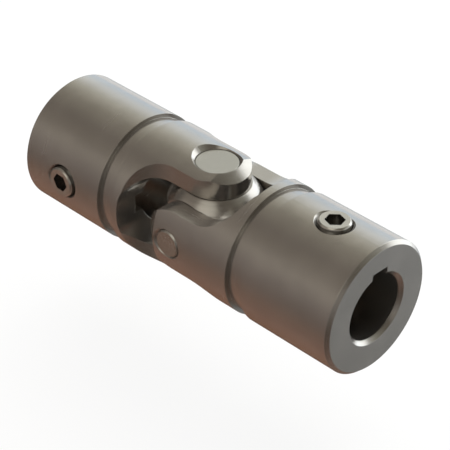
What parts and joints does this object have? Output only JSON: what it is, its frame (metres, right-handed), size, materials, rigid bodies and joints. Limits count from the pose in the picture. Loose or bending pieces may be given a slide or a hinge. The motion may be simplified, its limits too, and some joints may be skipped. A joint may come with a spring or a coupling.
{
  "type": "universal joint",
  "caption": "Pin-and-block universal joint in satin steel: forked hubs with keyed bores and set screws, joined by a centre block.",
  "frame": {"origin": "the point where the two pin axes and the two shaft axes cross", "axes": "+X along the shaft axis out of the right yoke, +Y along the small pin, +Z along the large pin"},
  "size_m": [0.0952, 0.0324, 0.0324],
  "materials": {
    "yoke_steel": "turned and milled steel, satin",
    "block_steel": "turned steel with fine turning lines, satin",
    "pin_steel": "ground steel, satin",
    "screw_steel": "plated alloy steel, smooth"
  },
  "bodies": {
    "left_half": {"left_yoke": "yoke_steel"},
    "cross": {"center_block": "block_steel", "large_pin": "pin_steel"},
    "right_half": {"right_yoke": "yoke_steel", "small_pin": "pin_steel"},
    "left_screw": {"left_set_screw": "screw_steel"},
    "right_screw": {"right_set_screw": "screw_steel"}
  },
  "joints": [
    {"name": "large_pin_hinge", "type": "hinge", "parent": "left_half", "child": "cross", "pos_m": [0, 0, 0], "axis": [0, 0, 1], "range_deg": [-35, 35]},
    {"name": "small_pin_hinge", "type": "hinge", "parent": "cross", "child": "right_half", "pos_m": [0, 0, 0], "axis": [0, 1, 0], "range_deg": [-35, 35]},
    {"name": "left_screw_travel", "type": "slide", "parent": "left_half", "child": "left_screw", "axis": [0, -1, 0], "range_m": [-0.002, 0.003]},
    {"name": "right_screw_travel", "type": "slide", "parent": "right_half", "child": "right_screw", "axis": [0, 0, 1], "range_m": [-0.002, 0.003]}
  ]
}
